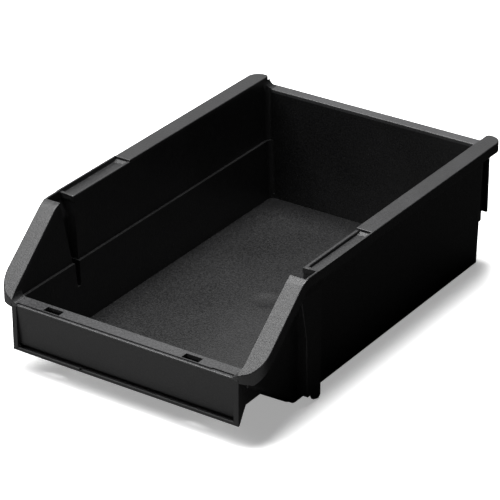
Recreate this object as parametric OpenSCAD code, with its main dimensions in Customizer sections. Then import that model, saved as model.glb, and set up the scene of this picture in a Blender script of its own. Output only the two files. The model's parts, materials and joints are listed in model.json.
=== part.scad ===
// Open-fronted stacking storage bin, one black injection moulding, drawn as its
// natural regions: floor, walls, rim, stacking features, label holder, rear lip.
// X is the width, Y runs from the label panel (-Y) to the rear lip (+Y), Z is up.
// The origin lies on the resting plane, under the middle of the bounding box.

/* [Overall] */
// Width over the side rails
bin_w = 200; // [190:1:220]
// Length from the label panel to the rear hanging lip
bin_l = 300; // [290:1:340]
// Height over the side rails
bin_h = 95; // [92:1:110]

/* [Walls] */
// Thickness of the floor
floor_t = 3; // [2:0.1:4]
// Thickness of the side walls at the rail
wall_t = 2.5; // [2:0.1:3]
// Inward lean of the inner side faces, in degrees
wall_draft = 1.6; // [0.5:0.1:2]
// Width of the step that runs along the inner side faces
ledge_w = 2; // [1:0.1:2.5]
// Height of the tilted band along the outer bottom edge
band_h = 13; // [8:1:18]
// Amount by which that band leans in at the bottom
band_in = 0.7; // [0.5:0.1:2]
// Radius of the outer bottom edge
bottom_r = 2.5; // [1:0.1:2.9]
// Outer radius of the upright rear corners
corner_r = 9; // [8:0.5:9.5]
// Inner radius of the upright rear corners
inner_corner_r = 4; // [3.5:0.5:6]
// Radius of the edges between the sloping front wall and the side walls
front_edge_r = 5; // [3:0.5:6]

/* [Front opening] */
// Height of the front rim, and of the step inside
front_h = 48; // [44:1:54]
// Distance from the front to the top of the sloping rims
slope_run = 52.5; // [48:0.5:55]
// Height by which the sloping rims start above the front rim
slope_step = 2; // [0.5:0.5:3]
// Radius of the bend between the sloping rims and the side rails
slope_bend_r = 14; // [8:1:18]
// Distance from the front to the foot of the sloping front wall
front_foot = 60.8; // [58:0.2:64]
// Angle of the front wall above the resting plane
front_angle = 34.6; // [32:0.2:38]
// Width of the front rim
front_rim_w = 10.6; // [9:0.1:12]
// Outer radius of the front rim corners
front_corner_r = 15; // [10:1:20]
// Radius of the hollow between the front rim and the sloping rims
hollow_r = 4; // [3:0.5:6]
// Width of the lower lip along the front edge of the rim
front_lip_w = 1.8; // [1.2:0.1:2]
// Depth of that lip below the rim
front_lip_drop = 1; // [0.5:0.1:1.5]
// Centre of the left label cover slot, from the middle
slot_left_x = -56.8; // [-60:0.2:-54]
// Centre of the right label cover slot, from the middle
slot_right_x = 49.2; // [46:0.2:52]
// Length of a label cover slot
slot_l = 12.5; // [11:0.5:14]
// Width of a label cover slot
slot_w = 5.5; // [4:0.1:6]

/* [Rim] */
// Width of the side rails
rail_w = 12.4; // [11:0.1:14]
// Thickness of the rim flange
rim_t = 2.5; // [2:0.1:3]
// Height of the downturned skirt, measured from the top of the rail
skirt_h = 7.5; // [6:0.1:9]
// Thickness of the skirt
skirt_t = 1.8; // [1.2:0.1:2]
// Distance from the rear lip to the ends of the rails
tip_setback = 5; // [4:0.1:6]
// Radius of the outer corner of the rail ends
tip_r = 9; // [6:0.5:9]
// Radius of the inner corner of the rail ends
tip_inner_r = 3.2; // [2.2:0.1:3.3]
// Height of the rear rim below the rails
rear_drop = 8; // [6.5:0.5:9]
// Width of the rear rim
rear_rim_w = 9; // [8:0.1:10]
// Radius of the rear edge of the rear rim
rear_edge_r = 1.4; // [1:0.1:1.9]

/* [Stacking features] */
// Front end of the stacking notch, from the front
notch_front = 54.5; // [54:0.1:56]
// Rear end of the stacking notch, from the front
notch_rear = 68.5; // [67:0.5:70]
// Rear end of the stacking channel, from the front
channel_rear = 129.5; // [110:0.5:150]
// Depth of the channel floor below the rail
channel_depth = 3.3; // [2:0.1:3.5]
// Drop of the inner lip of the channel below the rail
lip_drop = 1.3; // [0.8:0.1:1.6]
// Width of the outer lip of the channel
outer_lip_w = 1.2; // [1:0.1:1.8]
// Half distance between the outer faces of the stacking feet
foot_half = 95.5; // [94:0.5:97]
// Rear end of the stacking feet, from the front
foot_end = 78; // [77:0.5:80]
// Height of the foot tongue above the resting plane
foot_clear = 0.3; // [0.2:0.1:2]
// Height of the bottom of the foot pocket
pocket_floor = 30; // [20:1:36]

/* [Label holder] */
// Half width of the label holder
label_half = 86.5; // [84:0.1:88]
// Height of the lower edge of the label holder
label_bottom = 14; // [10:1:20]
// Height of the lower lip
label_lip = 2.4; // [1.8:0.1:3]
// Width of the side lips of the label holder
label_side = 3.8; // [3:0.1:4.5]
// Depth of the panel behind the lips at its lower end
panel_lean = 2.9; // [2:0.1:3.4]
// Depth of the label groove behind the lower lip
groove_depth = 4.6; // [4:0.1:5]
// Thickness of the label panel
panel_t = 1.8; // [1.5:0.1:2.5]

/* [Rear hanging lip] */
// Half width of the lip
lip_half = 87.6; // [85:0.1:88]
// Height of the lower edge of the lip
lip_bottom = 35; // [30:1:45]
// Thickness of the lip and of its end ribs
hang_t = 2; // [1.8:0.1:2.4]

/* [Gate dish] */
// Radius of the shallow round dish in the floor
gate_r = 12.5; // [8:0.5:15]
// Depth of the dish in its middle
gate_depth = 0.9; // [0.5:0.1:1.2]
// Distance of the dish behind the middle
gate_y = 10; // [0:1:20]

/* [Hidden] */
$fn = 48;

body_black = [0.10, 0.10, 0.11];
rim_black = [0.16, 0.16, 0.17];
panel_black = [0.13, 0.13, 0.14];

half_w = bin_w / 2;
front_y = -bin_l / 2;
rear_y = bin_l / 2;
over = 40;
tiny = 0.001;
gate_ball_r = (gate_r * gate_r + gate_depth * gate_depth) / (2 * gate_depth);

// Side wall faces: x of the inner and outer faces at height z
lean = tan(wall_draft);
inner_top = half_w - rail_w;
function inner_x(z) = inner_top - (bin_h - z) * lean - (z < front_h ? ledge_w : 0);
function outer_x(z) = inner_top + wall_t - (bin_h - z) * lean;
band_top_x = outer_x(band_h);
bottom_x = band_top_x - band_in;

// Rear wall faces
rear_draft = 0.3;
rear_lean = tan(rear_draft);
rear_rim_z = bin_h - rear_drop;
rear_in_top = rear_y - rear_rim_w;
function rear_in(z) = rear_in_top - (rear_rim_z - z) * rear_lean;
function rear_out(z) = rear_in(z) + wall_t;
tip_y = rear_y - tip_setback;
rear_top = rear_rim_z - rim_t;
rim_end_r = rear_drop - rim_t;
rim_end_back = 3;

// Front wall: upright under the front rim, then sloping down to the floor
rim_in_y = front_y + front_rim_w;
front_fall = tan(front_angle);
function front_out(z) = front_y + front_foot - z / front_fall;
function front_in(z) = front_out(z) + wall_t / sin(front_angle);
upright_y = rim_in_y - wall_t;
knee_in = (front_in(0) - rim_in_y) * front_fall;
knee_out = (front_out(0) - upright_y) * front_fall;
flange_z = bin_h - rim_t;
front_flange_z = front_h - rim_t;

// Sloping rims: height of the line that lies a given distance under the top surface
slope_top_y = front_y + slope_run;
slope_foot_z = front_h + slope_step;
slope_angle = atan2(bin_h - slope_foot_z, slope_run);
function slope_z(y, drop) = slope_foot_z + (y - front_y) * tan(slope_angle) - drop / cos(slope_angle);
function slope_y(z, drop) = front_y + (z - slope_foot_z + drop / cos(slope_angle)) / tan(slope_angle);
corner_skirt_drop = 4;
corner_skirt_z = front_h - corner_skirt_drop;

// Arc of the bend between slope and rail, at a given distance under the top surface
bend_y = slope_top_y + slope_bend_r * tan(slope_angle / 2);
function bend_arc(drop) =
  [for (a = [0 : slope_angle / 6 : slope_angle + 0.01])
    [bend_y - (slope_bend_r - drop) * sin(a),
     bin_h - slope_bend_r + (slope_bend_r - drop) * cos(a)]];

// Stacking features
notch_f = front_y + notch_front;
notch_r = front_y + notch_rear;
channel_r = front_y + channel_rear;
channel_z = bin_h - channel_depth;
channel_wall = 2.4;
ramp_l = 2.5;
ramp_h = 1.4;
pocket_f = notch_f + 9.1;
pocket_r = notch_r + 1;
pocket_slant = 1.5;
foot_wall = 2;
foot_front = pocket_f - foot_wall;
foot_rear = front_y + foot_end;
arm_z = foot_clear + 6.6;
arm_inset = 1;
tongue_l = 8;
tongue_front_z = foot_clear + 1.6;
tongue_rear_l = 2.6;
tongue_rear_z = foot_clear + 1.8;
tongue_slant = 2.2;

// Front rim, label holder and rear lip details
lip_jog_x = 66;
lip_jog_w = 0.8;
slot_setback = 2.4;
panel_inset = 0.5;
groove_z = label_bottom + 3.6;
groove_back_t = 1.2;
groove_end_t = 1.2;
label_step_z = label_bottom + label_lip / 2;
label_lip_t = 1.4;
lip_notch_x = -33;
lip_notch_w = 2;
side_lip_base = 1.2;
side_lip_chamfer = 6;
gusset_t = 2.4;
gusset_step = 3.6;
gusset_root = 2.6;
gusset_z = label_bottom + 11.5;
rib_x = 85;
rib_drop = 5.8;
rib_root = 2.5;
rib_reach = 5;

notch_half = half_w - skirt_t;
flare_low = 78;
web_z = channel_z - 2;

// Builds a profile given in the YZ plane as a plate from x0 to x1
module yz_plate(x0, x1, points) {
  translate([x0, 0, 0])
    rotate([90, 0, 90])
      linear_extrude(height = x1 - x0)
        polygon(points);
}

// Builds a profile given in the XZ plane as a bar from y0 to y1
module xz_bar(y0, y1, points) {
  translate([0, y1, 0])
    rotate([90, 0, 0])
      linear_extrude(height = y1 - y0)
        polygon(points);
}

// Box between two corners
module block(low, high) {
  translate(low)
    cube(high - low);
}

// Draws its children on the right side, or mirrored on the left side
module on_side(left) {
  if (left)
    mirror([1, 0, 0]) children();
  else
    children();
}

// Everything inside the inner side faces
module cavity() {
  xz_bar(front_y - over, rear_y + over,
    [[-inner_x(0), 0], [inner_x(0), 0],
     [inner_x(front_h - tiny), front_h], [inner_x(front_h), front_h],
     [inner_top, bin_h], [-inner_top, bin_h],
     [-inner_x(front_h), front_h], [-inner_x(front_h - tiny), front_h]]);
}

// Everything outside the right inner side face
module outside_cavity() {
  xz_bar(front_y - over, rear_y + over,
    [[inner_x(front_h), front_h - over], [inner_x(front_h), front_h], [inner_top, bin_h],
     [inner_top, bin_h + over], [half_w + over, bin_h + over], [half_w + over, front_h - over]]);
}

// Everything outside the right outer side face, down to below the floor
module outside_right() {
  xz_bar(front_y - over, rear_y + over,
    [[bottom_x, -1], [bottom_x, 0], [band_top_x, band_h], [outer_x(bin_h), bin_h],
     [outer_x(bin_h), bin_h + over], [half_w + over, bin_h + over], [half_w + over, -1]]);
}

// Points of an arc from angle a0 to a1, counted from the first axis towards the second
function arc(centre, r, a0, a1) =
  [for (i = [0 : 6])
    centre + r * [cos(a0 + (a1 - a0) * i / 6), sin(a0 + (a1 - a0) * i / 6)]];

// Places its children in the leaning frame of the right rear corner, at the outer edge
module at_rear_corner() {
  translate([outer_x(0), rear_out(0), 0])
    rotate([-rear_draft, wall_draft, 0])
      children();
}

// What lies outside a rounded edge that runs up from the origin, with its solid at -X and -Y
module edge_waste(r, length) {
  difference() {
    block([-r, -r, -over], [over, over, length]);
    translate([-r, -r, -over - 1])
      cylinder(h = over + length + 2, r = r);
  }
}

// What lies outside the rounded right rear corner
module rear_corner_cut() {
  at_rear_corner()
    edge_waste(corner_r, bin_h + 1);
}

// What lies outside the rounded edge between the front wall and the right side wall
module front_corner_cut() {
  translate([outer_x(0), front_out(0), 0])
    rotate([90 - front_angle, 0, 0])
      rotate([0, atan(lean * sin(front_angle)), 0])
        mirror([0, 1, 0])
          edge_waste(front_edge_r, knee_out / sin(front_angle));
  translate([outer_x(knee_out), upright_y, knee_out])
    intersection() {
      mirror([0, 1, 0])
        edge_waste(front_edge_r, front_flange_z - knee_out);
      block([-over, -over, -front_edge_r], [over, over, over]);
    }
}

// Quarter arc of the bottom edge, from the side to the underside
function bottom_arc(side) =
  [for (a = [0 : 15 : 90])
    [side * (bottom_x - bottom_r + bottom_r * cos(a)), bottom_r - bottom_r * sin(a)]];
function reversed(list) = [for (i = [len(list) - 1 : -1 : 0]) list[i]];

module floor_pan() {
  floor_x = bottom_x + band_in * floor_t / band_h;
  color(body_black)
    difference() {
      xz_bar(front_out(0), rear_out(0),
        concat([[floor_x, floor_t]], bottom_arc(1), reversed(bottom_arc(-1)),
               [[-floor_x, floor_t]]));
      // Front edge follows the slope of the front wall
      yz_plate(-half_w, half_w,
        [[front_out(0) - 1, -1], [front_out(0) + 1, -1], [front_out(0) + 1, 0],
         [front_out(0), floor_t / 3], [front_out(0) - 1, floor_t / 3]]);
      // Rounded rear edge of the underside
      translate([0, rear_out(0), 0])
        difference() {
          block([-half_w, -bottom_r, -1], [half_w, bottom_r, bottom_r]);
          translate([-half_w - 1, -bottom_r, bottom_r])
            rotate([0, 90, 0])
              cylinder(h = bin_w + 2, r = bottom_r);
        }
      rear_corner_cut();
      front_corner_cut();
      mirror([1, 0, 0]) rear_corner_cut();
      mirror([1, 0, 0]) front_corner_cut();
      // Shallow dish over the gate
      translate([0, gate_y, floor_t - gate_depth + gate_ball_r])
        sphere(r = gate_ball_r);
    }
}

module front_wall() {
  color(body_black)
    difference() {
      intersection() {
        yz_plate(-half_w, half_w,
          [[front_in(floor_t), floor_t], [rim_in_y, knee_in], [rim_in_y, front_flange_z],
           [upright_y, front_flange_z], [upright_y, knee_out], [front_out(floor_t), floor_t]]);
        cavity();
      }
      front_corner_cut();
      mirror([1, 0, 0]) front_corner_cut();
    }
}

// Space between the right rear corner and its inner rounding, where the side face stands in by step
module inner_corner(step, back) {
  at_rear_corner()
    translate([-wall_t - step, -wall_t, 0])
      difference() {
        block([-inner_corner_r, -inner_corner_r, 0], [over, back, bin_h]);
        translate([-inner_corner_r, -inner_corner_r, -1])
          cylinder(h = bin_h + 2, r = inner_corner_r);
      }
}

// Filling of the right rear corner between two heights
module rear_corner_fill(step, low_z, high_z) {
  intersection() {
    inner_corner(step, over);
    cavity();
    yz_plate(0, half_w,
      [[rear_in(low_z) - corner_r, low_z], [rear_in(low_z), low_z],
       [rear_in(high_z), high_z], [rear_in(high_z) - corner_r, high_z]]);
  }
}

module rear_wall() {
  color(body_black)
    union() {
      difference() {
        intersection() {
          yz_plate(-half_w, half_w,
            [[rear_in(floor_t), floor_t], [rear_out(floor_t), floor_t],
             [rear_out(rear_top), rear_top], [rear_in(rear_top), rear_top]]);
          cavity();
        }
        rear_corner_cut();
        mirror([1, 0, 0]) rear_corner_cut();
      }
      for (left = [false, true])
        on_side(left) {
          rear_corner_fill(ledge_w, floor_t, front_h);
          rear_corner_fill(0, front_h, rear_top);
        }
    }
}

// Outline of a side wall, seen from the side
module side_outline_plate() {
  yz_plate(inner_x(0) - 1, half_w,
    concat([[front_out(floor_t), floor_t], [rear_out(floor_t), floor_t],
            [rear_out(flange_z), flange_z]],
           bend_arc(rim_t),
           [[front_y + skirt_t, slope_z(front_y + skirt_t, rim_t)],
            [front_y + skirt_t, front_flange_z], [upright_y, front_flange_z],
            [upright_y, knee_out]]));
}

// Space of the foot pocket: it narrows downwards, and a small step marks the ledge height
module pocket() {
  intersection() {
    yz_plate(inner_x(0) - 2, half_w,
      [[pocket_f + pocket_slant, pocket_floor], [notch_r, pocket_floor],
       [notch_r, front_h], [pocket_r, front_h], [pocket_r, web_z], [notch_r, web_z],
       [notch_r, bin_h + 1], [notch_f, bin_h + 1], [notch_f, flange_z], [pocket_f, front_h]]);
    xz_bar(front_y, rear_y,
      [[0, pocket_floor], [foot_half - foot_wall, pocket_floor],
       [foot_half - foot_wall, flare_low], [notch_half, bin_h - skirt_h + 1],
       [notch_half, bin_h + 1], [0, bin_h + 1]]);
  }
}

module side_wall() {
  color(body_black)
    difference() {
      intersection() {
        side_outline_plate();
        xz_bar(front_y, rear_y,
          [[inner_x(0), 0], [bottom_x, 0], [band_top_x, band_h],
           [outer_x(bin_h), bin_h], [inner_top, bin_h], [inner_x(front_h), front_h],
           [inner_x(front_h - tiny), front_h]]);
      }
      pocket();
      rear_corner_cut();
      front_corner_cut();
    }
}

// What lies outside a rounded corner of a plan outline, with its area at -X and -Y
module corner_waste(r) {
  translate([-r, -r])
    difference() {
      square(over);
      circle(r = r);
    }
}

// Plan outline of a rail, rounded at its rear end
module rail_outline(inset) {
  x0 = inner_x(flange_z);
  difference() {
    translate([x0, channel_r])
      square([half_w - inset - x0, tip_y - inset - channel_r]);
    translate([half_w - inset, tip_y - inset])
      corner_waste(tip_r - inset);
    translate([x0 + inset, tip_y - inset])
      mirror([1, 0])
        corner_waste(tip_inner_r - inset);
  }
}

module rail() {
  color(rim_black)
    union() {
      intersection() {
        outside_cavity();
        translate([0, 0, flange_z])
          linear_extrude(height = rim_t)
            rail_outline(0);
      }
      // Downturned skirt along the outer edge and around the end
      translate([0, 0, bin_h - skirt_h])
        linear_extrude(height = skirt_h - rim_t)
          difference() {
            rail_outline(0);
            rail_outline(skirt_t);
            translate([0, channel_r - 1])
              square([half_w - skirt_t, rear_out(flange_z) - corner_r - channel_r + 1]);
            translate([0, channel_r - 1])
              square([outer_x(bin_h), rear_out(flange_z) - channel_r + 1]);
          }
    }
}

module stack_channel() {
  end_y = notch_r + channel_wall;
  color(rim_black)
    union() {
      // Channel floor with its ramp up to the rail
      intersection() {
        outside_right();
        yz_plate(inner_top, half_w - outer_lip_w,
          [[end_y, web_z], [channel_r, web_z], [channel_r, channel_z + ramp_h],
           [channel_r - ramp_l, channel_z], [end_y, channel_z]]);
      }
      // Front end wall
      intersection() {
        outside_cavity();
        block([0, notch_r, flange_z], [half_w - outer_lip_w, end_y, bin_h - lip_drop]);
      }
      intersection() {
        outside_right();
        block([inner_top, notch_r, web_z], [half_w - outer_lip_w, end_y, flange_z]);
      }
      // Inner lip
      intersection() {
        outside_cavity();
        block([0, end_y, flange_z], [outer_x(channel_z), channel_r, bin_h - lip_drop]);
      }
      // Outer lip and skirt
      block([half_w - outer_lip_w, notch_r, bin_h - skirt_h], [half_w, channel_r, bin_h]);
    }
}

module notch_guard() {
  color(rim_black)
    intersection() {
      block([notch_half, notch_f, bin_h - skirt_h], [half_w, notch_r, bin_h]);
      yz_plate(0, half_w, concat([[front_y, 0]], [[front_y, slope_foot_z]], reversed(bend_arc(0)),
                                 [[rear_y, bin_h], [rear_y, 0]]));
    }
}

// Plan outline of the front right corner of the rim, from x0 outwards
module corner_plan(x0, inset) {
  r = front_corner_r - inset;
  centre = [half_w - front_corner_r, front_y + front_corner_r];
  intersection() {
    union() {
      translate([x0, centre[1]])
        square([half_w - inset - x0, notch_f - centre[1]]);
      translate(centre)
        circle(r = r);
    }
    translate([x0, front_y])
      square([half_w - x0, notch_f - front_y]);
  }
}

// Side profile between the top of the sloping rim and a line a given distance under it
function slope_profile(drop) =
  concat([[front_y, slope_z(front_y, drop)], [front_y, slope_foot_z]],
         reversed(bend_arc(0)), bend_arc(drop));

// Hollow blend that climbs from the front rim to the sloping rim
module front_hollow() {
  x1 = inner_x(front_h);
  intersection() {
    cavity();
    xz_bar(front_y, rim_in_y,
      concat([[half_w, front_h]], arc([x1 - hollow_r, front_h + hollow_r], hollow_r, 270, 360),
             [[half_w, front_h + hollow_r]]));
    yz_plate(0, half_w,
      [[front_y, front_h], [front_y, slope_foot_z], [rim_in_y, slope_z(rim_in_y, 0)],
       [rim_in_y, front_h]]);
  }
}

module slope_rim() {
  skirt_y = slope_y(corner_skirt_z, skirt_h);
  color(rim_black)
    union() {
      intersection() {
        linear_extrude(height = bin_h + 1)
          corner_plan(inner_x(front_h), 0);
        yz_plate(0, half_w, slope_profile(rim_t));
        outside_cavity();
      }
      // Skirt around the corner and along the outer edge
      intersection() {
        linear_extrude(height = bin_h + 1)
          difference() {
            corner_plan(label_half, 0);
            corner_plan(label_half - 1, skirt_t);
          }
        yz_plate(0, half_w,
          concat([[front_y, corner_skirt_z], [front_y, slope_foot_z]], reversed(bend_arc(0)),
                 bend_arc(skirt_h), [[skirt_y, corner_skirt_z]]));
      }
      front_hollow();
    }
}

module front_rim() {
  slot_y = front_y + slot_setback;
  half = inner_x(front_h);
  lip_z = front_h - front_lip_drop;
  color(rim_black)
    difference() {
      block([-half, front_y, front_flange_z], [half, rim_in_y, front_h]);
      for (x = [slot_left_x, slot_right_x])
        block([x - slot_l / 2, slot_y, front_flange_z - 1],
              [x + slot_l / 2, slot_y + slot_w, front_h + 1]);
      // Lower lip along the front, which widens near its right end
      block([hollow_r - half, front_y - 1, lip_z],
            [half - hollow_r, front_y + front_lip_w, front_h + 1]);
      block([lip_jog_x, front_y - 1, lip_z],
            [half - hollow_r, front_y + front_lip_w + lip_jog_w, front_h + 1]);
    }
}

module rear_rim() {
  color(rim_black)
    intersection() {
      yz_plate(-inner_top, inner_top,
        concat([[rear_in_top, rear_rim_z], [rear_in_top, rear_top], [rear_y, rear_top]],
               arc([rear_y - rear_edge_r, rear_rim_z - rear_edge_r], rear_edge_r, 0, 90)));
      cavity();
    }
}

// Web that carries the right rear corner up from the rear rim to the rail end
module rim_end() {
  color(rim_black)
    intersection() {
      inner_corner(0, over);
      cavity();
      xz_bar(front_y, rear_y,
        concat([[0, rear_rim_z], [0, rear_top], [half_w, rear_top], [half_w, flange_z]],
               reversed(arc([inner_x(flange_z) - rim_end_r, flange_z], rim_end_r, 270, 360))));
      yz_plate(0, half_w,
        [[rear_in_top - corner_r, rear_top], [rear_in_top, rear_top], [rear_in_top, rear_rim_z],
         [rear_y - rim_end_back, rear_rim_z], [tip_y, flange_z], [rear_in_top - corner_r, flange_z]]);
    }
}

// Leaning label panel with the back of the label groove, closed at its ends
module label_panel() {
  half = label_half - label_side;
  groove_y = front_y + groove_depth;
  color(panel_black)
    union() {
      yz_plate(-half, half,
        [[front_y + panel_inset, front_flange_z], [front_y + panel_inset + panel_t, front_flange_z],
         [groove_y + groove_back_t, groove_z], [groove_y + groove_back_t, label_bottom],
         [groove_y, label_bottom], [groove_y, groove_z], [front_y + panel_lean, groove_z]]);
      for (x = [-half, half - groove_end_t])
        block([x, front_y + label_lip_t, label_step_z], [x + groove_end_t, groove_y, groove_z]);
    }
}

// Side lip of the label holder, standing proud of the leaning panel
module label_side_lip() {
  color(panel_black)
    yz_plate(label_half - label_side, label_half,
      [[front_y, front_flange_z], [front_y + panel_inset + panel_t, front_flange_z],
       [front_y + panel_lean + panel_t, label_bottom + side_lip_chamfer],
       [front_y + side_lip_base, label_bottom], [front_y, label_bottom]]);
}

// Lower lip with a stepped edge, and the floor of the label groove behind it
module label_lip_bottom() {
  half = label_half - label_side;
  color(panel_black)
    difference() {
      yz_plate(-half, half,
        [[front_y, label_bottom], [front_y + groove_depth, label_bottom],
         [front_y + groove_depth, label_step_z], [front_y + label_lip_t, label_step_z],
         [front_y + label_lip_t, label_bottom + label_lip], [front_y, label_bottom + label_lip]]);
      block([lip_notch_x - lip_notch_w / 2, front_y - 1, label_step_z],
            [lip_notch_x + lip_notch_w / 2, front_y + label_lip_t + 1, label_step_z + label_lip]);
    }
}

// Fin that ties the side lip back to the sloping front wall
module apron_gusset() {
  lip_z = label_bottom + side_lip_chamfer;
  lip_back = front_y + panel_lean + panel_t;
  color(body_black)
    union() {
      yz_plate(label_half - gusset_t, label_half,
        [[lip_back, lip_z], [lip_back + gusset_step, gusset_z], [front_out(gusset_z), gusset_z],
         [upright_y, knee_out], [upright_y, front_flange_z],
         [front_y + panel_inset + panel_t, front_flange_z]]);
      // Root that follows the rounded edge of the front wall
      intersection() {
        yz_plate(label_half - gusset_t, label_half,
          [[front_out(gusset_z), gusset_z], [front_out(gusset_z) + gusset_root, gusset_z],
           [upright_y + gusset_root, knee_out], [upright_y + gusset_root, front_flange_z],
           [upright_y, front_flange_z], [upright_y, knee_out]]);
        front_corner_cut();
      }
    }
}

// Outline of the channel that forms a stacking foot, seen from the side
module foot_outline() {
  yz_plate(inner_x(0), half_w,
    [[foot_front + arm_inset, arm_z], [foot_rear, arm_z], [foot_rear, web_z],
     [notch_r, web_z], [notch_r, flange_z], [notch_f - foot_wall, flange_z],
     [foot_front, front_h]]);
}

// Outline of the same channel, seen from the front
module foot_section() {
  low_z = bin_h - skirt_h;
  xz_bar(front_y, rear_y,
    [[0, 0], [foot_half, 0], [foot_half, flare_low], [half_w - skirt_t / 2, low_z],
     [notch_half, low_z], [notch_half, bin_h], [0, bin_h]]);
}

// Tongue that drops into the channel of the bin below
module foot_tongue() {
  tongue_f = foot_rear - tongue_l;
  yz_plate(foot_half - foot_wall, foot_half,
    [[tongue_f - tongue_slant, arm_z], [tongue_f, tongue_front_z],
     [foot_rear - tongue_rear_l, foot_clear], [foot_rear, tongue_rear_z], [foot_rear, arm_z]]);
}

module stacking_foot() {
  inner_half = foot_half - foot_wall;
  color(body_black)
    difference() {
      intersection() {
        outside_right();
        union() {
          intersection() {
            foot_outline();
            foot_section();
          }
          foot_tongue();
        }
      }
      pocket();
      // Hollow underside, and the hollow behind the pocket
      block([inner_x(0) - 1, foot_front + foot_wall + arm_inset, -1],
            [inner_half, foot_rear - foot_wall, pocket_floor - foot_wall]);
      block([inner_x(0) - 1, pocket_r + foot_wall, -1],
            [inner_half, foot_rear - foot_wall, flare_low]);
    }
}

module rear_hanging_lip() {
  color(body_black)
    block([-lip_half, rear_y - hang_t, lip_bottom], [lip_half, rear_y, rear_top]);
}

// Rib between the rear wall and one end of the hanging lip
module lip_rib() {
  low_z = lip_bottom - rib_drop;
  root_y = rear_out(low_z) + rib_root;
  color(body_black)
    union() {
      yz_plate(rib_x - hang_t, rib_x,
        [[rear_out(low_z), low_z], [root_y, low_z],
         [root_y, lip_bottom + rib_root], [rear_y - hang_t, lip_bottom + rib_root],
         [rear_y - hang_t, rear_top], [rear_out(rear_top), rear_top]]);
      // Root that follows the rounded corner
      intersection() {
        yz_plate(rib_x - hang_t, rib_x,
          [[rear_out(low_z) - rib_reach, low_z], [rear_out(low_z), low_z],
           [rear_out(rear_top), rear_top], [rear_out(rear_top) - rib_reach, rear_top]]);
        rear_corner_cut();
      }
    }
}

floor_pan();
front_wall();
rear_wall();
on_side(true) side_wall();  // left_side_wall
on_side(false) side_wall();  // right_side_wall
on_side(true) rail();  // left_rail
on_side(false) rail();  // right_rail
on_side(true) stack_channel();  // left_stack_channel
on_side(false) stack_channel();  // right_stack_channel
on_side(true) notch_guard();  // left_notch_guard
on_side(false) notch_guard();  // right_notch_guard
on_side(true) slope_rim();  // left_slope_rim
on_side(false) slope_rim();  // right_slope_rim
front_rim();
rear_rim();
on_side(true) rim_end();  // left_rim_end
on_side(false) rim_end();  // right_rim_end
label_panel();
on_side(true) label_side_lip();  // label_lip_left
on_side(false) label_side_lip();  // label_lip_right
label_lip_bottom();
on_side(true) apron_gusset();  // left_apron_gusset
on_side(false) apron_gusset();  // right_apron_gusset
on_side(true) stacking_foot();  // left_stacking_foot
on_side(false) stacking_foot();  // right_stacking_foot
rear_hanging_lip();
on_side(true) lip_rib();  // left_lip_rib
on_side(false) lip_rib();  // right_lip_rib
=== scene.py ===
"""Looks of the open-fronted stacking bin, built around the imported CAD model."""

import json
import math

import bmesh
import bpy
from mathutils import Matrix, Vector
from mathutils.bvhtree import BVHTree
from mathutils.geometry import intersect_point_line


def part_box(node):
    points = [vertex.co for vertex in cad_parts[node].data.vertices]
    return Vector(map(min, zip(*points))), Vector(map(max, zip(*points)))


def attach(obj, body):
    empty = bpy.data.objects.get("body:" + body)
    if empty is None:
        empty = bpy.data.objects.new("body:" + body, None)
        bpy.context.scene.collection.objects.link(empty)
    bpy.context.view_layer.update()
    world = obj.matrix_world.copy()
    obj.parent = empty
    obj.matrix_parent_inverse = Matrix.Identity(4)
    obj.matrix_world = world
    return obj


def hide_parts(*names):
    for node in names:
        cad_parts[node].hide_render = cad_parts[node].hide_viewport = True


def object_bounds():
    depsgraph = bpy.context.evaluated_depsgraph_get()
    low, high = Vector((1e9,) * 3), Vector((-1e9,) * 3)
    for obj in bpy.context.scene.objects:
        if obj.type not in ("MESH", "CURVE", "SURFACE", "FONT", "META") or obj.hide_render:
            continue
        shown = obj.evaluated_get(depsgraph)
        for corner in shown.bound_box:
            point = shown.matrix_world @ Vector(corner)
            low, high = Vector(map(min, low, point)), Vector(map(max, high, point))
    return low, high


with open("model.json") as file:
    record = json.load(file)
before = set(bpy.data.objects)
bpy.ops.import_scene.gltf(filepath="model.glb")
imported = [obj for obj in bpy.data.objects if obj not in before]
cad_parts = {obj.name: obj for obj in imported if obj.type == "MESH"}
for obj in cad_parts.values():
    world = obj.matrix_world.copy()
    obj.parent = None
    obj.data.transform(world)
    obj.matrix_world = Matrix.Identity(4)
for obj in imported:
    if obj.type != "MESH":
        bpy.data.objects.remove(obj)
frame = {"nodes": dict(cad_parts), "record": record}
cad_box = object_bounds()

MM = 0.001
ROOT = "root"

# ---------------------------------------------------------------- camera and studio

AZIMUTH = math.radians(34.01)
ELEVATION = math.radians(27.39)
ROLL = math.radians(-0.11)
CAMERA_AT = Vector((0.8954, -1.3322, 0.8785))
FOCAL_LENGTH = 199.07
SENSOR_WIDTH = 36.0
CLIP_START = 0.05
SHIFT = (-0.0072, -0.0050)

WHITE = (1.0, 1.0, 1.0, 1.0)
WORLD_LIGHT = 0.01
LIGHTS_AIM = Vector((0, 0, 0.05))

FLOOR_HALF = 6.0
FLOOR_DROP = 0.1 * MM
FLOOR_ROUGHNESS = 0.9
FLOOR_SPECULAR = 0.1
FLOOR_SHADE = 0.95
FLOOR_GLOW = 0.35
# What the floor sends back to anything but the camera: beside and behind the bin, and in front of it
SIDE_SHADE = 0.01
FRONT_SHADE = 0.21
FRONT_EDGE = cad_box[0].y
SHADE_STARTS = FRONT_EDGE + 50 * MM
SHADE_ENDS = FRONT_EDGE - 20 * MM


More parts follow.
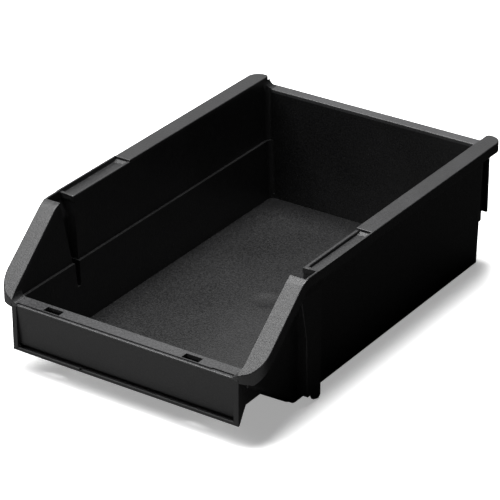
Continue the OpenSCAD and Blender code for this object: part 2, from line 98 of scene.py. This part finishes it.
def add_camera():
    """A long lens at the fitted viewing angle, with plain tones."""
    back = Vector((math.sin(AZIMUTH) * math.cos(ELEVATION),
                   -math.cos(AZIMUTH) * math.cos(ELEVATION),
                   math.sin(ELEVATION)))
    data = bpy.data.cameras.new("camera")
    data.sensor_width = SENSOR_WIDTH
    data.lens = FOCAL_LENGTH
    data.shift_x, data.shift_y = SHIFT
    data.clip_start = CLIP_START
    camera = bpy.data.objects.new("camera", data)
    bpy.context.scene.collection.objects.link(camera)
    turn = back.to_track_quat("Z", "Y").to_matrix().to_4x4()
    camera.matrix_world = Matrix.Translation(CAMERA_AT) @ turn @ Matrix.Rotation(ROLL, 4, "Z")
    bpy.context.scene.camera = camera
    bpy.context.scene.view_settings.view_transform = "Standard"


def add_softbox(name, at, size, power):
    """A rectangular area light at a point, turned to face the bin."""
    data = bpy.data.lights.new(name, "AREA")
    data.energy = power
    data.shape = "RECTANGLE"
    data.size, data.size_y = size
    light = bpy.data.objects.new(name, data)
    bpy.context.scene.collection.objects.link(light)
    turn = (Vector(at) - LIGHTS_AIM).to_track_quat("Z", "Y").to_matrix().to_4x4()
    light.matrix_world = Matrix.Translation(at) @ turn


def add_world():
    world = bpy.data.worlds.new("studio")
    world.use_nodes = True
    background = world.node_tree.nodes["Background"]
    background.inputs["Color"].default_value = WHITE
    background.inputs["Strength"].default_value = WORLD_LIGHT
    bpy.context.scene.world = world


def floor_material():
    """White and faintly glowing to the camera, and dark to the light that would reach the side walls."""
    material = bpy.data.materials.new("studio_floor")
    material.use_nodes = True
    nodes, links = material.node_tree.nodes, material.node_tree.links
    shader = nodes["Principled BSDF"]
    shader.inputs["Roughness"].default_value = FLOOR_ROUGHNESS
    shader.inputs["Specular IOR Level"].default_value = FLOOR_SPECULAR
    place = nodes.new("ShaderNodeTexCoord")
    split = nodes.new("ShaderNodeSeparateXYZ")
    links.new(place.outputs["Object"], split.inputs["Vector"])
    front = nodes.new("ShaderNodeMapRange")
    front.inputs["From Min"].default_value = SHADE_STARTS
    front.inputs["From Max"].default_value = SHADE_ENDS
    front.inputs["To Min"].default_value = SIDE_SHADE
    front.inputs["To Max"].default_value = FRONT_SHADE
    links.new(split.outputs["Y"], front.inputs["Value"])
    seen = nodes.new("ShaderNodeLightPath")
    shade = nodes.new("ShaderNodeMix")
    links.new(seen.outputs["Is Camera Ray"], shade.inputs["Factor"])
    links.new(front.outputs["Result"], shade.inputs["A"])
    shade.inputs["B"].default_value = FLOOR_SHADE
    links.new(shade.outputs["Result"], shader.inputs["Base Color"])
    # The glow makes the shadow paler to the camera and lights nothing
    glow = nodes.new("ShaderNodeMath")
    glow.operation = "MULTIPLY"
    glow.inputs[1].default_value = FLOOR_GLOW
    links.new(seen.outputs["Is Camera Ray"], glow.inputs[0])
    links.new(glow.outputs["Value"], shader.inputs["Emission Strength"])
    shader.inputs["Emission Color"].default_value = WHITE
    return material


def add_floor():
    corners = [(x * FLOOR_HALF, y * FLOOR_HALF, 0) for x, y in ((-1, -1), (1, -1), (1, 1), (-1, 1))]
    mesh = bpy.data.meshes.new("studio_floor")
    mesh.from_pydata(corners, [], [(0, 1, 2, 3)])
    floor = bpy.data.objects.new("studio_floor", mesh)
    floor.location.z = -FLOOR_DROP
    bpy.context.scene.collection.objects.link(floor)
    mesh.materials.append(floor_material())


add_camera()
add_world()
add_floor()
add_softbox("overhead_softbox", at=(0.03, -0.05, 2.20), size=(0.5, 0.5), power=45)
add_softbox("front_softbox", at=(-0.65, -0.50, 1.35), size=(1.0, 1.0), power=23)
add_softbox("high_back_softbox", at=(-0.30, 0.45, 2.00), size=(0.6, 0.6), power=42)
add_softbox("low_back_softbox", at=(-0.80, 1.18, 0.80), size=(1.3, 1.0), power=3)

# ---------------------------------------------------------------- materials

NOISE_DETAIL = 3.0
NOISE_LOW = 0.3
NOISE_HIGH = 0.7
CLOUD_SCALE = 22.0
CLOUD_SHADE = (0.3, 0.7)
CLOUD_GLOSS = 0.012
GRAIN_SCALE = 900.0
GRAIN_SHADE = (-0.3, 0.3)
GRAIN_GLOSS = 0.09
GRAIN_DEPTH = 0.15 * MM
DARKEST = 0.45
PALEST = 1.55
PLASTIC_SPECULAR = 0.5


def plastic(name, colour, roughness):
    """Black moulded plastic: spark-eroded grain, faint flow marks and slight changes of gloss."""
    material = bpy.data.materials.new(name)
    material.use_nodes = True
    nodes, links = material.node_tree.nodes, material.node_tree.links
    shader = nodes["Principled BSDF"]
    place = nodes.new("ShaderNodeTexCoord")

    def noise(scale):
        node = nodes.new("ShaderNodeTexNoise")
        node.inputs["Scale"].default_value = scale
        node.inputs["Detail"].default_value = NOISE_DETAIL
        links.new(place.outputs["Object"], node.inputs["Vector"])
        return node.outputs["Fac"]

    def spread(value, lowest, highest):
        node = nodes.new("ShaderNodeMapRange")
        node.inputs["From Min"].default_value = NOISE_LOW
        node.inputs["From Max"].default_value = NOISE_HIGH
        node.inputs["To Min"].default_value = lowest
        node.inputs["To Max"].default_value = highest
        links.new(value, node.inputs["Value"])
        return node.outputs["Result"]

    def total(first, second):
        node = nodes.new("ShaderNodeMath")
        node.operation = "ADD"
        links.new(first, node.inputs[0])
        links.new(second, node.inputs[1])
        return node.outputs["Value"]

    cloud = noise(CLOUD_SCALE)
    grain = noise(GRAIN_SCALE)
    ramp = nodes.new("ShaderNodeMix")
    ramp.data_type = "RGBA"
    ramp.inputs["A"].default_value = [DARKEST * c for c in colour] + [1.0]
    ramp.inputs["B"].default_value = [PALEST * c for c in colour] + [1.0]
    links.new(total(spread(cloud, *CLOUD_SHADE), spread(grain, *GRAIN_SHADE)), ramp.inputs["Factor"])
    links.new(ramp.outputs["Result"], shader.inputs["Base Color"])
    cloud_gloss = spread(cloud, roughness - CLOUD_GLOSS, roughness + CLOUD_GLOSS)
    grain_gloss = spread(grain, -GRAIN_GLOSS, GRAIN_GLOSS)
    links.new(total(cloud_gloss, grain_gloss), shader.inputs["Roughness"])
    bump = nodes.new("ShaderNodeBump")
    bump.inputs["Strength"].default_value = 1.0
    bump.inputs["Distance"].default_value = GRAIN_DEPTH
    links.new(grain, bump.inputs["Height"])
    links.new(bump.outputs["Normal"], shader.inputs["Normal"])
    shader.inputs["Specular IOR Level"].default_value = PLASTIC_SPECULAR
    return material


# Painted shade: the walls' copy of the one plastic is darker than the rims' copy, to keep the walls
# black
looks = {
    "wall_plastic": plastic("wall_plastic", (0.006, 0.006, 0.0063), 0.40),
    "rim_plastic": plastic("rim_plastic", (0.011, 0.011, 0.0116), 0.42),
    "label_plastic": plastic("label_plastic", (0.009, 0.009, 0.0094), 0.48),
}
# Painted light: the front and rear rims get a paler copy of the rim plastic, so that their tops show
# brighter than the lamps alone make them
painted_light_rims = plastic("painted_light_rim_plastic", (0.030, 0.030, 0.0312), 0.42)
look_of = {"front_rim": painted_light_rims, "rear_rim": painted_light_rims}
slot_of = {part["node"]: part["material_slot"] for part in frame["record"]["subparts"]}

# ---------------------------------------------------------------- rounded pieces from the CAD solids

# An edge is worth rounding above SHARP, and stays a crease in the shading above CREASE
SHARP = math.radians(25)
CREASE = math.radians(35)
FLAT = math.radians(0.3)
MERGE = 0.001 * MM
TOUCH = 0.06 * MM
SEAM_STEP = 0.5 * MM
END = 2.5 * MM
SLIVER = 0.02 * MM * MM
ROUNDING = {"rim_plastic": 0.7 * MM, "wall_plastic": 0.6 * MM, "label_plastic": 0.4 * MM}
ROUNDING_TRIES = (1.0, 0.6, 0.35)
ROUNDING_SEGMENTS = 3
# Cosines below which a triangle folds over in its face, or turns away from the CAD surface
FOLDED = 0.5
TURNED_AWAY = 0.2
FAULT_REACH = 1.2

trees = {}


def solid_of(node):
    """The CAD solid as clean faces with no triangulation of its flats."""
    bm = bmesh.new()
    bm.from_mesh(frame["nodes"][node].data)
    bmesh.ops.remove_doubles(bm, verts=bm.verts, dist=MERGE)
    bmesh.ops.dissolve_limit(bm, angle_limit=FLAT, verts=bm.verts, edges=bm.edges)
    return bm


def tree_of(node):
    """A search tree of the CAD solid's surface, made once for each node."""
    if node not in trees:
        bm = bmesh.new()
        bm.from_mesh(frame["nodes"][node].data)
        trees[node] = BVHTree.FromBMesh(bm)
        bm.free()
    return trees[node]


def boxes_meet(a, b):
    (a_low, a_high), (b_low, b_high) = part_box(a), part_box(b)
    return all(a_low[i] <= b_high[i] + TOUCH and b_low[i] <= a_high[i] + TOUCH for i in range(3))


def touches(point, neighbours):
    """True where a neighbouring solid meets this point, so the edge there is a seam of the moulding."""
    return any(tree_of(n).find_nearest(point, TOUCH)[0] is not None for n in neighbours)


def split_at_seams(bm, neighbours):
    """Cuts sharp edges where a neighbour starts or ends, and returns the free stretches."""
    free = []
    for edge in [e for e in bm.edges if e.is_manifold and e.calc_face_angle(0) > SHARP]:
        count = max(1, round(edge.calc_length() / SEAM_STEP))
        start, end = edge.verts[0].co.copy(), edge.verts[1].co.copy()
        marks = [touches(start.lerp(end, (i + 0.5) / count), neighbours) for i in range(count)]
        rest, vert, done = edge, edge.verts[0], 0.0
        for i in range(1, count):
            if marks[i] != marks[i - 1]:
                part = (i / count - done) / (1.0 - done)
                piece, vert = bmesh.utils.edge_split(rest, vert, part)
                if not marks[i - 1]:
                    free.append(piece)
                done = i / count
        if not marks[-1]:
            free.append(rest)
    return free


def cut_ends(edges):
    """Splits the ends off long edges, so that a difficult corner costs only a short stretch."""
    parts = []
    for edge in edges:
        length = edge.calc_length()
        if length > 3 * END:
            first, vert = bmesh.utils.edge_split(edge, edge.verts[0], END / length)
            middle = bmesh.utils.edge_split(edge, vert, (length - 2 * END) / (length - END))[0]
            parts += [first, middle]
        parts.append(edge)
    return parts


def faults(bm, node):
    """Middle and corners of each triangle that folds over or turns away from the CAD surface."""
    found = []
    for corners in bm.calc_loop_triangles():
        a, b, c = [corner.vert.co for corner in corners]
        across = (b - a).cross(c - a)
        if across.length < SLIVER:
            continue
        normal = across.normalized()
        middle = (a + b + c) / 3
        cad_normal = tree_of(node).find_nearest(middle)[1]
        if normal.dot(corners[0].face.normal) < FOLDED or normal.dot(cad_normal) < TURNED_AWAY:
            found.append([middle, a.copy(), b.copy(), c.copy()])
    return found


def distance_to(point, start, end):
    along = intersect_point_line(point, start, end)[1]
    return (start.lerp(end, min(1.0, max(0.0, along))) - point).length


def near_edges(points, edges, ends, reach):
    return {i for i in edges if any(distance_to(p, *ends[i]) < reach for p in points)}


def bevelled(bm, free, node, offset):
    """A rounded copy that leaves sharp the edges which don't round cleanly, or None if none do."""
    bm.edges.index_update()
    ends = {e.index: [v.co.copy() for v in e.verts] for e in free}
    chosen = set(ends)
    known = [spot[0] for spot in faults(bm, node)]
    reach = FAULT_REACH * offset
    while chosen:
        copy = bm.copy()
        copy.edges.ensure_lookup_table()
        bmesh.ops.bevel(copy, geom=[copy.edges[i] for i in sorted(chosen)], offset=offset,
                        offset_type="OFFSET", segments=ROUNDING_SEGMENTS, profile=0.5,
                        affect="EDGES", clamp_overlap=False, loop_slide=False)
        spots = [s for s in faults(copy, node) if all((s[0] - k).length > TOUCH for k in known)]
        if not spots:
            return copy
        copy.free()
        dropped = near_edges([s[0] for s in spots], chosen, ends, reach)
        if not dropped:
            dropped = near_edges([p for s in spots for p in s], chosen, ends, reach)
        if not dropped:
            return None
        chosen -= dropped
    return None


def rounded_mesh(node):
    """The node's mesh with free edges rounded, by less where the full rounding can't be made."""
    neighbours = [n for n in frame["nodes"] if n != node and boxes_meet(node, n)]
    bm = solid_of(node)
    free = cut_ends(split_at_seams(bm, neighbours))
    for part in ROUNDING_TRIES:
        rounded = bevelled(bm, free, node, part * ROUNDING[slot_of[node]])
        if rounded:
            break
    shape = rounded or bm
    for face in shape.faces:
        face.smooth = True
    for edge in shape.edges:
        edge.smooth = edge.calc_face_angle(0) < CREASE
    mesh = bpy.data.meshes.new(node + "_look")
    shape.to_mesh(mesh)
    return mesh


def rounded_piece(node):
    """Puts the rounded mesh in the place of the CAD part, with its look."""
    mesh = rounded_mesh(node)
    piece = bpy.data.objects.new(node + "_look", mesh)
    bpy.context.scene.collection.objects.link(piece)
    mesh.materials.append(look_of.get(node, looks[slot_of[node]]))
    weighted = piece.modifiers.new("weighted_normals", "WEIGHTED_NORMAL")
    weighted.keep_sharp = True
    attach(piece, ROOT)
    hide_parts(node)


for node in sorted(frame["nodes"]):
    rounded_piece(node)
